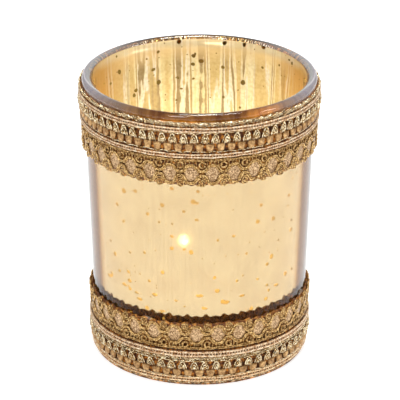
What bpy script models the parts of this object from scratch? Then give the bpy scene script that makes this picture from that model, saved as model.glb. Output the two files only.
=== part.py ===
"""Tealight holder: a silvered glass tumbler dressed with two bands of gold braid and lace, and its tealight.

Metres, +Z up. The origin is on the tumbler's axis, on the surface that it stands on.
Run it with: blender --background --python part.py
"""

import math

import bmesh
import bpy

MM = 0.001

# Tumbler
HEIGHT = 100.0 * MM
RIM_RADIUS = 40.0 * MM
BASE_RADIUS = 36.3 * MM  # of the outer wall, produced down to the table
SHOULDER_RADIUS = 39.6 * MM  # of the outer wall, produced up to the rim
RIM_WALL = 2.8 * MM
BASE_WALL = 3.8 * MM
FLOOR = 7.0 * MM
HEEL_ROUND = 2.0 * MM
CAVITY_ROUND = 4.0 * MM
FOOT_INNER_RADIUS = 26.0 * MM
FOOT_RECESS = 0.8 * MM
LIP_BELOW_RIM = 5.0 * MM  # where the wall starts to swell into the lip
COATING = 0.3 * MM
COATING_BELOW_RIM = 1.6 * MM

# Tealight
CANDLE_X = -5.4 * MM  # it stands a little off the tumbler's axis
CUP_RADIUS = 19.0 * MM
CUP_FOOT_RADIUS = 18.6 * MM
CUP_HEIGHT = 16.0 * MM
CUP_WALL = 0.35 * MM
CUP_BEAD = 0.5 * MM
WAX_HEIGHT = 12.6 * MM
WICK_RADIUS = 0.7 * MM
WICK_TIP = 19.0 * MM
TAB_RADIUS = 6.0 * MM
TAB_SHEET = 0.3 * MM
TAB_NECK = 4.0 * MM

# Braid and lace. A layer is the depth (inner, outer) at which a piece lies outside the glass.
GLUE_LAYER = (0.12 * MM, 0.30 * MM)
BACKING_LAYER = (0.42 * MM, 0.70 * MM)
PETAL_LAYER = (0.84 * MM, 1.25 * MM)
GIMP_LAYER = (1.36 * MM, 1.86 * MM)
THREAD_LAYER = (0.84 * MM, 1.30 * MM)
CORD_LAYER = (0.84 * MM, 1.75 * MM)
CROWN_BED = 1.25 * MM  # outer depth between two crowns
CROWN_TOP = 2.40 * MM  # outer depth at a crown's knot
CROWN_FOOT = 1.95 * MM  # outer depth at a crown's flat foot
CROWN_PITCH = (3.60 * MM, 3.92 * MM)  # upper and lower: the braid was stretched differently
LACE_PITCH = 7.35 * MM
LACE_HEIGHT = 9.6 * MM
PETAL_CENTRE = 5.6 * MM
PETAL_HALF_HEIGHT = 2.6 * MM
PETAL_LINK_HALF_HEIGHT = 0.5 * MM
GIMP_WIDTH = 0.9 * MM
INNER_GIMP_CENTRE = 3.5 * MM
INNER_GIMP_SWING = -1.1 * MM
OUTER_GIMP_CENTRE = 7.8 * MM
OUTER_GIMP_SWING = 1.4 * MM

# Heights of the braid's rows, (bottom, top)
UPPER_BRAID = {
    "foot_cord": (85.1 * MM, 86.7 * MM),
    "crown_row": (87.4 * MM, 93.8 * MM),
    "head_cord": (94.1 * MM, 95.9 * MM),
    "edge_thread": (96.1 * MM, 97.7 * MM),
}
LOWER_BRAID = {
    "foot_thread": (0.35 * MM, 1.6 * MM),
    "foot_cord": (1.8 * MM, 3.6 * MM),
    "crown_row": (3.9 * MM, 9.6 * MM),
    "head_thread": (9.9 * MM, 11.1 * MM),
    "head_cord": (11.3 * MM, 13.5 * MM),
}
UPPER_LACE_EDGE = 84.8 * MM  # the lace hangs down from here
LOWER_LACE_EDGE = 13.9 * MM  # and stands up from here

# The glue runs under both the braid and the lace of a band, (bottom, top)
UPPER_GLUE = (78.0 * MM, 94.0 * MM)
LOWER_GLUE = (3.0 * MM, 20.5 * MM)

SIDES = 48
CANDLE_SIDES = 36
STATIONS_PER_WAVE = 2
GAP = 0.1 * MM  # between pieces that touch on the real object
SHARP_ANGLE = math.radians(40)


def clear_scene():
    for obj in list(bpy.data.objects):
        bpy.data.objects.remove(obj)


def material(name, colour, roughness, metallic=0.0, alpha=1.0):
    made = bpy.data.materials.get(name) or bpy.data.materials.new(name)
    made.use_nodes = True
    made.diffuse_color = (*colour, alpha)
    shader = made.node_tree.nodes["Principled BSDF"]
    shader.inputs["Base Color"].default_value = (*colour, 1.0)
    shader.inputs["Roughness"].default_value = roughness
    shader.inputs["Metallic"].default_value = metallic
    shader.inputs["Alpha"].default_value = alpha
    return made


def clear_glass():
    return material("clear_glass", (0.93, 0.95, 0.96), 0.03, alpha=0.35)


def gold_mirror():
    return material("gold_mirror", (0.93, 0.74, 0.42), 0.08, metallic=1.0)


def copper_gold_cord():
    return material("copper_gold_cord", (0.80, 0.56, 0.36), 0.38, metallic=0.6)


def antique_gold_thread():
    return material("antique_gold_thread", (0.62, 0.47, 0.20), 0.42, metallic=0.6)


def woven_tape():
    return material("woven_tape", (0.55, 0.36, 0.16), 0.60, metallic=0.3)


def rose_gold_satin():
    return material("rose_gold_satin", (0.70, 0.52, 0.34), 0.50, metallic=0.4)


def clear_glue():
    return material("clear_glue", (0.85, 0.82, 0.76), 0.30)


def bare_aluminium():
    return material("bare_aluminium", (0.85, 0.85, 0.86), 0.25, metallic=1.0)


def paraffin_wax():
    return material("paraffin_wax", (0.93, 0.91, 0.85), 0.40)


def cotton_wick():
    return material("cotton_wick", (0.86, 0.83, 0.75), 0.90)


def tinned_steel():
    return material("tinned_steel", (0.70, 0.70, 0.71), 0.35, metallic=1.0)


def node_from(mesh_builder, name, finish):
    """An object named name, made from a finished bmesh, smooth except at its real edges."""
    bmesh.ops.recalc_face_normals(mesh_builder, faces=mesh_builder.faces)
    mesh = bpy.data.meshes.new(name)
    mesh_builder.to_mesh(mesh)
    mesh_builder.free()
    mesh.materials.append(finish)
    mesh.shade_smooth()
    mesh.set_sharp_from_angle(angle=SHARP_ANGLE)
    obj = bpy.data.objects.new(name, mesh)
    bpy.context.scene.collection.objects.link(obj)
    return obj


def turned(name, outline, finish, sides=SIDES):
    """A solid of revolution about Z. The outline is (radius, height) points in order round the section."""
    builder = bmesh.new()
    points = [builder.verts.new((radius, 0.0, height)) for radius, height in outline]
    edges = [builder.edges.new(pair) for pair in zip(points, points[1:])]
    touches_axis = outline[0][0] == 0.0
    if not touches_axis:
        edges.append(builder.edges.new((points[-1], points[0])))
    bmesh.ops.spin(
        builder,
        geom=points + edges,
        cent=(0.0, 0.0, 0.0),
        axis=(0.0, 0.0, 1.0),
        angle=math.tau,
        steps=sides,
        use_merge=True,
    )
    bmesh.ops.remove_doubles(builder, verts=builder.verts, dist=0.001 * MM)
    return node_from(builder, name, finish)


def looped(name, sections, finish):
    """A closed ring through sections, which stand at equal angles round Z, each a list of (radius, height)."""
    builder = bmesh.new()
    rings = []
    for index, section in enumerate(sections):
        turn = math.tau * index / len(sections)
        rings.append(
            [
                builder.verts.new((radius * math.cos(turn), radius * math.sin(turn), height))
                for radius, height in section
            ]
        )
    for ring, following in zip(rings, rings[1:] + rings[:1]):
        for corner in range(len(ring)):
            beside = (corner + 1) % len(ring)
            builder.faces.new((ring[corner], ring[beside], following[beside], following[corner]))
    return node_from(builder, name, finish)


def arc(centre_radius, centre_height, radius, start_deg, end_deg, steps):
    """Points of a round stretch of an outline, both ends included."""
    angles = [math.radians(start_deg + (end_deg - start_deg) * i / steps) for i in range(steps + 1)]
    return [
        (centre_radius + radius * math.cos(a), centre_height + radius * math.sin(a)) for a in angles
    ]


def outer_radius(height):
    """Radius of the tumbler's outer wall, which widens evenly from foot to rim."""
    return BASE_RADIUS + (SHOULDER_RADIUS - BASE_RADIUS) * height / HEIGHT


def cavity_radius(height):
    """Radius of the cavity's wall, which has more draft than the outer wall."""
    thickness = BASE_WALL + (RIM_WALL - BASE_WALL) * height / HEIGHT
    return outer_radius(height) - thickness


def cavity_outline(inset, top):
    """The cavity's outline from the middle of its floor up its wall to top, moved inwards by inset."""
    round_radius = CAVITY_ROUND - inset
    round_height = FLOOR + CAVITY_ROUND
    wall_foot = cavity_radius(round_height) - inset
    fillet = arc(wall_foot - round_radius, round_height, round_radius, -90, 0, 3)
    return [(0.0, FLOOR + inset), *fillet, (cavity_radius(top) - inset, top)]


def tumbler():
    lip_start = HEIGHT - LIP_BELOW_RIM
    rim_inner = cavity_radius(HEIGHT)
    rim_round = (RIM_RADIUS - rim_inner) / 2
    rim_middle = rim_inner + rim_round
    heel_radius = outer_radius(HEEL_ROUND)
    outline = [
        (0.0, FOOT_RECESS),
        (FOOT_INNER_RADIUS - FOOT_RECESS, FOOT_RECESS),
        (FOOT_INNER_RADIUS, 0.0),
        *arc(heel_radius - HEEL_ROUND, HEEL_ROUND, HEEL_ROUND, -90, 0, 3),
        (outer_radius(lip_start), lip_start),
        *arc(rim_middle, HEIGHT - rim_round, rim_round, 0, 180, 6),
        *reversed(cavity_outline(0.0, HEIGHT - LIP_BELOW_RIM)),
    ]
    return turned("glass_tumbler", outline, clear_glass())


def mirror_coating():
    top = HEIGHT - COATING_BELOW_RIM
    outside = cavity_outline(GAP, top)
    inside = cavity_outline(GAP + COATING, top)
    return turned("mirror_coating", outside + inside[::-1], gold_mirror())


def band(name, heights, layer, finish):
    """A flat band that follows the glass, between two heights and two depths outside it."""
    low, high = heights
    inner, outer = layer
    section = [
        (outer_radius(low) + inner, low),
        (outer_radius(low) + outer, low),
        (outer_radius(high) + outer, high),
        (outer_radius(high) + inner, high),
    ]
    return looped(name, [section] * SIDES, finish)


def cord(name, heights, finish):
    """A fat rounded cord: a six-sided band."""
    low, high = heights
    inner, outer = CORD_LAYER
    middle = (low + high) / 2
    shoulder = (high - low) / 4
    glass = outer_radius(middle)
    section = [
        (glass + inner, low + shoulder),
        (glass + (inner + outer) / 2, low),
        (glass + outer, low + shoulder),
        (glass + outer, high - shoulder),
        (glass + (inner + outer) / 2, high),
        (glass + inner, high - shoulder),
    ]
    return looped(name, [section] * SIDES, finish)


def crown_row(name, heights, pitch, finish):
    """A row of crowns: each is a knot over a flat foot, with a dip on either side of it."""
    low, high = heights
    inner = THREAD_LAYER[0]
    glass = outer_radius((low + high) / 2)
    crowns = round(math.tau * (glass + CROWN_TOP) / pitch)

    def section(foot, knot):
        return [
            (glass + inner, low),
            (glass + foot, low),
            (glass + knot, high),
            (glass + inner, high),
        ]

    return looped(name, [section(CROWN_FOOT, CROWN_TOP), section(CROWN_BED, CROWN_BED)] * crowns, finish)


def braid(prefix, rows, pitch):
    """Backing tape, cords, threads and crown row of one band of braid."""
    bottom = min(low for low, high in rows.values())
    top = max(high for low, high in rows.values())
    band(f"{prefix}_braid_tape", (bottom, top), BACKING_LAYER, woven_tape())
    for row, heights in rows.items():
        name = f"{prefix}_braid_{row}"
        if row == "crown_row":
            crown_row(name, heights, pitch, antique_gold_thread())
        elif row.endswith("cord"):
            cord(name, heights, copper_gold_cord())
        else:
            band(name, heights, THREAD_LAYER, antique_gold_thread())


def waved(name, edge, direction, waves, layer, wave, finish):
    """A ring that swings between petals. wave(share) gives its (low, high) at a share of one petal's pitch."""
    inner, outer = layer
    glass = outer_radius(edge + direction * PETAL_CENTRE)
    lean = (SHOULDER_RADIUS - BASE_RADIUS) / HEIGHT
    sections = []
    for index in range(waves * STATIONS_PER_WAVE):
        low, high = sorted(direction * h for h in wave(index / STATIONS_PER_WAVE))
        middle = glass + lean * ((low + high) / 2 - direction * PETAL_CENTRE)
        sections.append(
            [
                (middle + inner, edge + low),
                (middle + outer, edge + low),
                (middle + outer, edge + high),
                (middle + inner, edge + high),
            ]
        )
    return looped(name, sections, finish)


def gimp_wave(centre, swing):
    def wave(share):
        middle = centre + swing * math.cos(math.tau * share)
        return middle - GIMP_WIDTH / 2, middle + GIMP_WIDTH / 2

    return wave


def petal_wave(share):
    swell = (1 + math.cos(math.tau * share)) / 2
    half = PETAL_LINK_HALF_HEIGHT + (PETAL_HALF_HEIGHT - PETAL_LINK_HALF_HEIGHT) * swell
    return PETAL_CENTRE - half, PETAL_CENTRE + half


def lace(prefix, edge, direction):
    """Net, linked petals and the two gimps of one lace edging. It grows from edge, up or down by direction."""
    glass = outer_radius(edge + direction * PETAL_CENTRE)
    waves = round(math.tau * (glass + GIMP_LAYER[1]) / LACE_PITCH)

    def reach(near, far):
        return sorted((edge + direction * near, edge + direction * far))

    band(f"{prefix}_lace_net", reach(GAP, 0.9 * LACE_HEIGHT), BACKING_LAYER, antique_gold_thread())
    rings = {
        "petals": (PETAL_LAYER, petal_wave, rose_gold_satin()),
        "inner_gimp": (GIMP_LAYER, gimp_wave(INNER_GIMP_CENTRE, INNER_GIMP_SWING), antique_gold_thread()),
        "outer_gimp": (GIMP_LAYER, gimp_wave(OUTER_GIMP_CENTRE, OUTER_GIMP_SWING), antique_gold_thread()),
    }
    for row, (layer, wave, finish) in rings.items():
        waved(f"{prefix}_lace_{row}", edge, direction, waves, layer, wave, finish)


def cup_wall_radius(height):
    """Outer radius of the tealight's metal cup, which widens a little towards its bead."""
    return CUP_FOOT_RADIUS + (CUP_RADIUS - CUP_FOOT_RADIUS) * height / CUP_HEIGHT


def candle_cup():
    bead_height = CUP_HEIGHT - CUP_BEAD
    bead_radius = cup_wall_radius(bead_height)
    outline = [
        (0.0, 0.0),
        (CUP_FOOT_RADIUS - CUP_WALL, 0.0),
        (cup_wall_radius(CUP_WALL), CUP_WALL),
        (bead_radius, bead_height - CUP_BEAD),
        *arc(bead_radius, bead_height, CUP_BEAD, -45, 135, 4),
        (bead_radius - CUP_WALL, bead_height),
        (cup_wall_radius(2 * CUP_WALL) - CUP_WALL, 2 * CUP_WALL),
        (cup_wall_radius(0.0) - 2 * CUP_WALL, CUP_WALL),
        (0.0, CUP_WALL),
    ]
    return turned("tealight_cup", outline, bare_aluminium(), CANDLE_SIDES)


def wax_puck():
    """Wax with a melted hollow in its top, a bore for the wick and a recess for the wick's tab."""
    bottom = CUP_WALL + GAP
    top = bottom + WAX_HEIGHT
    side_gap = CUP_WALL + 1.5 * GAP
    bore = WICK_RADIUS + GAP
    neck_bore = WICK_RADIUS + 0.6 * MM + 2 * GAP
    recess = TAB_RADIUS + GAP
    outline = [
        (recess, bottom),
        (cup_wall_radius(bottom) - side_gap - CUP_WALL, bottom),
        (cup_wall_radius(bottom + CUP_WALL) - side_gap, bottom + 2 * CUP_WALL),
        (cup_wall_radius(top) - side_gap, top),
        (cup_wall_radius(top) - side_gap - 1.0 * MM, top - 0.5 * MM),
        (0.5 * CUP_RADIUS, top - 0.8 * MM),
        (3.0 * bore, top - 0.7 * MM),
        (bore, top - 0.3 * MM),
        (bore, bottom + TAB_NECK + GAP),
        (neck_bore, bottom + TAB_NECK + GAP),
        (neck_bore, bottom + TAB_SHEET + GAP),
        (recess, bottom + TAB_SHEET + GAP),
    ]
    return turned("wax", outline, paraffin_wax(), CANDLE_SIDES)


def wick_tab():
    """The stamped disc that holds the wick upright, with its crimped neck."""
    bottom = CUP_WALL + GAP
    neck_inner = WICK_RADIUS + GAP
    neck_outer = WICK_RADIUS + 0.6 * MM
    outline = [
        (0.0, bottom),
        (TAB_RADIUS, bottom),
        (TAB_RADIUS, bottom + TAB_SHEET),
        (neck_outer, bottom + TAB_SHEET),
        (neck_outer, bottom + TAB_NECK),
        (neck_inner, bottom + TAB_NECK),
        (neck_inner, bottom + TAB_SHEET),
        (0.0, bottom + TAB_SHEET),
    ]
    return turned("wick_tab", outline, tinned_steel(), sides=20)


def wick():
    """A cord that stands in the wax and leans over where it burns."""
    foot = CUP_WALL + GAP + TAB_SHEET + GAP
    above_wax = CUP_WALL + GAP + WAX_HEIGHT
    route = [
        (0.0, foot),
        (0.0, above_wax),
        (0.15 * MM, above_wax + 2.0 * MM),
        (0.6 * MM, above_wax + 4.0 * MM),
        (1.3 * MM, WICK_TIP),
    ]
    curve = bpy.data.curves.new("wick", "CURVE")
    curve.dimensions = "3D"
    curve.bevel_depth = WICK_RADIUS
    curve.bevel_resolution = 2
    curve.use_fill_caps = True
    spline = curve.splines.new("POLY")
    spline.points.add(len(route) - 1)
    for point, (lean, height) in zip(spline.points, route):
        point.co = (lean, 0.0, height, 1.0)
    curve.materials.append(cotton_wick())
    obj = bpy.data.objects.new("wick", curve)
    bpy.context.scene.collection.objects.link(obj)
    return obj


def tealight():
    """The candle: its metal cup, and the wax with its wick and tab, all placed from the cup's foot."""
    foot = bpy.data.objects.new("tealight_foot", None)
    foot.location = (CANDLE_X, 0.0, FLOOR + GAP + COATING + GAP)
    bpy.context.scene.collection.objects.link(foot)
    for piece in (candle_cup(), wax_puck(), wick_tab(), wick()):
        piece.parent = foot


def main():
    clear_scene()
    tumbler()
    mirror_coating()
    upper_pitch, lower_pitch = CROWN_PITCH
    band("upper_glue", UPPER_GLUE, GLUE_LAYER, clear_glue())
    band("lower_glue", LOWER_GLUE, GLUE_LAYER, clear_glue())
    braid("upper", UPPER_BRAID, upper_pitch)
    lace("upper", UPPER_LACE_EDGE, -1)
    lace("lower", LOWER_LACE_EDGE, 1)
    braid("lower", LOWER_BRAID, lower_pitch)
    tealight()


main()
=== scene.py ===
"""The looks of a tealight holder: a silvered glass tumbler with two bands of gold braid and lace.

The frame gives every place and size. A trim is laid out flat as (along, height, depth), where depth is
measured outwards from the glass, and is then wrapped round the tumbler. Turned pieces are lathed from
outlines of (radius, height). All lengths are millimetres until a mesh is made, unless a comment says otherwise.
"""

import math

import bpy
import numpy as np
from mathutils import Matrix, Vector


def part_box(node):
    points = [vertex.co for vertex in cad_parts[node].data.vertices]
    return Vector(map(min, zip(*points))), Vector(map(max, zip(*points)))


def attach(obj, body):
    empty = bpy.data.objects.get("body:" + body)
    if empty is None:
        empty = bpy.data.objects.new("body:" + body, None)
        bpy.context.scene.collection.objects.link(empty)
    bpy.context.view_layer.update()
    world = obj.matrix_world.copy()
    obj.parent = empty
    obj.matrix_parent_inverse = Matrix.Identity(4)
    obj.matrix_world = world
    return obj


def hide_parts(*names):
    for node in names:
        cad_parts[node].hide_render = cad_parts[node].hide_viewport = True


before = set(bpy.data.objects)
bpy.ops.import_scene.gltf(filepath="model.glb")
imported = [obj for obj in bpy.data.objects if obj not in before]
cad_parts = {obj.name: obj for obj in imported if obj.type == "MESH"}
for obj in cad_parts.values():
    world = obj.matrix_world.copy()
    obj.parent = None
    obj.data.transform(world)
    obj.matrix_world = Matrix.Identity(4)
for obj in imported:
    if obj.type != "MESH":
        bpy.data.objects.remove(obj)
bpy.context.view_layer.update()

MM = 0.001
RNG_SEED = 7


def node_box(node):
    """A CAD node's lowest and highest corner, in millimetres."""
    low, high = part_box(node)
    return low / MM, high / MM


def rows_of(node):
    """Bottom and top of a CAD node, in millimetres."""
    low, high = node_box(node)
    return low.z, high.z


# Sizes read from the frame
GLASS_TOP = node_box("glass_tumbler")[1].z
RIM_RADIUS = node_box("glass_tumbler")[1].x
COATING_TOP = rows_of("mirror_coating")[1]
CUP_LOW, CUP_HIGH = node_box("tealight_cup")
CUP_FOOT, CUP_TOP = CUP_LOW.z, CUP_HIGH.z
CANDLE_X = (CUP_LOW.x + CUP_HIGH.x) / 2
WAX_LOW, WAX_TOP = rows_of("wax")

# The tumbler's outer wall is a cone: its radius at the table and at the rim
BASE_RADIUS = 36.3
SHOULDER_RADIUS = 39.6
RIM_WALL = 2.8
BASE_WALL = 3.8
GLASS_FLOOR = 7.0
CAVITY_ROUND = 4.0
HEEL_ROUND = 2.0
FOOT_RADIUS = 26.0
FOOT_RECESS = 0.8
# Above this height the glass has no coating and is seen as clear
LIP_START = 95.0

# How far the coating reaches into the glass, so that no air shows between them, and how thick it is drawn
COATING_SUNK = 0.06
COATING_THICKNESS = 0.25
# Its upper edge is this far above that of the CAD's coating, hidden in the glass
COATING_RISE = 0.55

# A turned outline begins and ends this close to its axis
AXIS = 0.05

# Mean distance of the trim's yarns from the glass, which sets how long a band is when laid out flat
TRIM_DEPTH = 1.2

# Height of the flame's bright core above the wick's tip
FLAME_CORE = 11.2
# Nearer than this, the flame lights things less than a bare point of light would
FLAME_EVEN_RANGE = 40.0

# The camera: degrees below level, place, lens, and sideways shift
CAMERA_TILT = 23.244
CAMERA_PLACE = (0.0, -810.46, 401.10)
CAMERA_LENS = 229.5
CAMERA_SHIFT = 0.00125


# Mesh making


def grid_faces(rings, sides, start, closed):
    """Four-cornered faces of a grid of rings, whose points are numbered from start.

    closed joins the last ring to the first.
    """
    index = np.arange(rings * sides).reshape(rings, sides) + start
    beside = np.roll(index, -1, 1)
    if closed:
        following, following_beside = np.roll(index, -1, 0), np.roll(beside, -1, 0)
        return np.stack([index, beside, following_beside, following], -1).reshape(-1, 4)
    return np.stack([index[:-1], beside[:-1], beside[1:], index[1:]], -1).reshape(-1, 4)


class Heap:
    """Grids of points that together become one mesh. Every grid is a stack of closed rings."""

    def __init__(self):
        self.points = []
        self.quads = []
        self.caps = []
        self.count = 0

    def add(self, grid, closed=False):
        rings, sides = grid.shape[:2]
        self.points.append(grid.reshape(-1, 3))
        self.quads.append(grid_faces(rings, sides, self.count, closed))
        if not closed:
            self.caps.append(self.count + np.arange(sides)[::-1])
            self.caps.append(self.count + (rings - 1) * sides + np.arange(sides))
        self.count += rings * sides

    def mesh(self, name, place=lambda points: points):
        points = place(np.concatenate(self.points)) * MM
        quads = np.concatenate(self.quads)
        corners = np.concatenate([quads.ravel(), *self.caps]).astype(np.int32)
        totals = np.concatenate([np.full(len(quads), 4), [len(c) for c in self.caps]]).astype(np.int32)
        starts = np.concatenate([[0], np.cumsum(totals)[:-1]]).astype(np.int32)
        mesh = bpy.data.meshes.new(name)
        mesh.vertices.add(len(points))
        mesh.vertices.foreach_set("co", points.astype(np.float32).ravel())
        mesh.loops.add(len(corners))
        mesh.loops.foreach_set("vertex_index", corners)
        mesh.polygons.add(len(totals))
        mesh.polygons.foreach_set("loop_start", starts)
        mesh.polygons.foreach_set("loop_total", totals)
        mesh.update(calc_edges=True)
        mesh.validate()
        mesh.shade_smooth()
        return mesh


def piece(name, mesh, materials, body, nodes):
    """A finished piece: it rides on body, stands for nodes and takes the given materials."""
    obj = bpy.data.objects.new(name, mesh)
    bpy.context.scene.collection.objects.link(obj)
    for material in materials:
        mesh.materials.append(material)
    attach(obj, body)
    if nodes:
        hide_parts(*nodes)
    return obj


def turned(name, rings, materials, body, nodes):
    """A finished piece that is made on a lathe."""
    heap = Heap()
    heap.add(rings)
    return piece(name, heap.mesh(name), materials, body, nodes)


def arc(centre_radius, centre_height, radius, start_deg, end_deg, steps):
    """Points of a round stretch of an outline, both ends included."""
    angles = np.radians(np.linspace(start_deg, end_deg, steps + 1))
    return [(centre_radius + radius * math.cos(a), centre_height + radius * math.sin(a)) for a in angles]


def lathed(outline, sides, shape=None, centre_x=0.0):
    """Rings turned from an outline that runs from the axis below, up the outside, and back to the axis."""
    outline = np.array(outline, float)
    turn = np.linspace(0, math.tau, sides, endpoint=False)
    radius = np.repeat(outline[:, :1], sides, 1)
    height = np.repeat(outline[:, 1:], sides, 1)
    if shape:
        radius, height = shape(radius, height, turn[None, :])
    return np.stack([centre_x + radius * np.sin(turn), -radius * np.cos(turn), height], -1)


def filled(outline, longest):
    """The outline with points added, so that no stretch is longer than longest."""
    out = []
    for (r0, z0), (r1, z1) in zip(outline, outline[1:]):
        steps = max(1, math.ceil(math.hypot(r1 - r0, z1 - z0) / longest))
        out += [(r0 + (r1 - r0) * i / steps, z0 + (z1 - z0) * i / steps) for i in range(steps)]
    return [*out, outline[-1]]


def glass_radius(height):
    """Radius of the tumbler's outer wall."""
    return BASE_RADIUS + (SHOULDER_RADIUS - BASE_RADIUS) * height / GLASS_TOP


def cavity_radius(height):
    """Radius of the cavity's wall, which has more draft than the outer wall."""
    return glass_radius(height) - BASE_WALL - (RIM_WALL - BASE_WALL) * height / GLASS_TOP


# Yarn, laid out flat


def unit(vectors):
    return vectors / np.linalg.norm(vectors, axis=-1, keepdims=True)


class Trim(Heap):
    """Yarns laid out flat along a girth in millimetres, to be wrapped round the glass."""

    def __init__(self, girth, shift=0.0):
        super().__init__()
        self.girth = girth
        self.shift = shift

    def yarn(self, path, radius, sides=6, closed=False, ply=0.0, twist=1.0, plies=2, flat=1.0):
        """A yarn along a path of (along, height, depth).

        ply is the depth of the grooves between its plies, as a share of the radius, and twist a turn's length.
        """
        path = np.asarray(path, float)
        if closed:
            step = np.array([self.girth, 0.0, 0.0])
            ahead = np.concatenate([path[1:], path[:1] + step])
            behind = np.concatenate([path[-1:] - step, path[:-1]])
            tangent = unit(ahead - behind)
        else:
            ahead = None
            tangent = unit(np.gradient(path, axis=0))
        out = np.array([0.0, 0.0, 1.0])
        first = unit(out - tangent * (tangent @ out)[:, None])
        second = np.cross(tangent, first)
        lengths = np.linalg.norm((ahead if closed else np.roll(path, -1, 0)) - path, axis=1)
        along = np.concatenate([[0.0], np.cumsum(lengths)[:-1]])
        turns = along / twist
        if closed:
            turns = along / lengths.sum() * round(lengths.sum() / twist)
        around = np.linspace(0, math.tau, sides, endpoint=False)
        swell = 1 + ply * np.cos(plies * around[None, :] - math.tau * turns[:, None])
        radius = np.broadcast_to(np.asarray(radius, float), (len(path),))
        if not closed:
            ends = np.minimum(np.arange(len(path)), np.arange(len(path))[::-1])
            radius = radius * np.where(ends == 0, 0.35, 1.0)
        size = radius[:, None] * swell
        grid = (
            path[:, None]
            + (size * np.cos(around) * flat)[..., None] * first[:, None]
            + (size * np.sin(around))[..., None] * second[:, None]
        )
        self.add(grid, closed)

    def pillow(self, centre, outline, low, high, rings=6, relief=None):
        """A padded shape that swells from depth low to high.

        outline(angle) gives its edge, as (along, height) from its centre.
        """
        around = np.linspace(0, math.tau, 28, endpoint=False)
        half_along, half_height = outline(around)
        share = np.concatenate([[0.04, 0.7], np.sin(np.linspace(0.5, 0.012, rings) * math.pi)])
        rise = np.concatenate([[0.0, 0.0], np.cos(np.linspace(0.5, 0.012, rings) * math.pi) ** 0.6])
        along = share[:, None] * half_along[None]
        height = share[:, None] * half_height[None]
        depth = low + (high - low) * np.repeat(rise[:, None], len(around), 1)
        if relief is not None:
            depth = depth + relief(along, height) * (rise[:, None] > 0.2)
        self.add(np.stack([centre[0] + along, centre[1] + height, depth], -1))

    def wrap(self, points):
        turn = math.tau * (points[:, 0] + self.shift) / self.girth
        radius = glass_radius(points[:, 1]) + points[:, 2]
        return np.stack([radius * np.sin(turn), -radius * np.cos(turn), points[:, 1]], -1)

    def piece(self, name, material, nodes, slot):
        return piece(name, self.mesh(name, self.wrap), [material], "holder", nodes)


def smooth_noise(generator, count, waves, size):
    """count values of a smooth random wave that closes on itself, made of harmonics up to waves."""
    turn = np.linspace(0, math.tau, count, endpoint=False)
    orders = np.arange(max(1, waves // 3), waves + 1)
    phases = generator.uniform(0, math.tau, len(orders))
    total = np.cos(orders[:, None] * turn[None] + phases[:, None]).sum(0)
    return size * total / math.sqrt(len(orders) / 2)


# Materials


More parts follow.
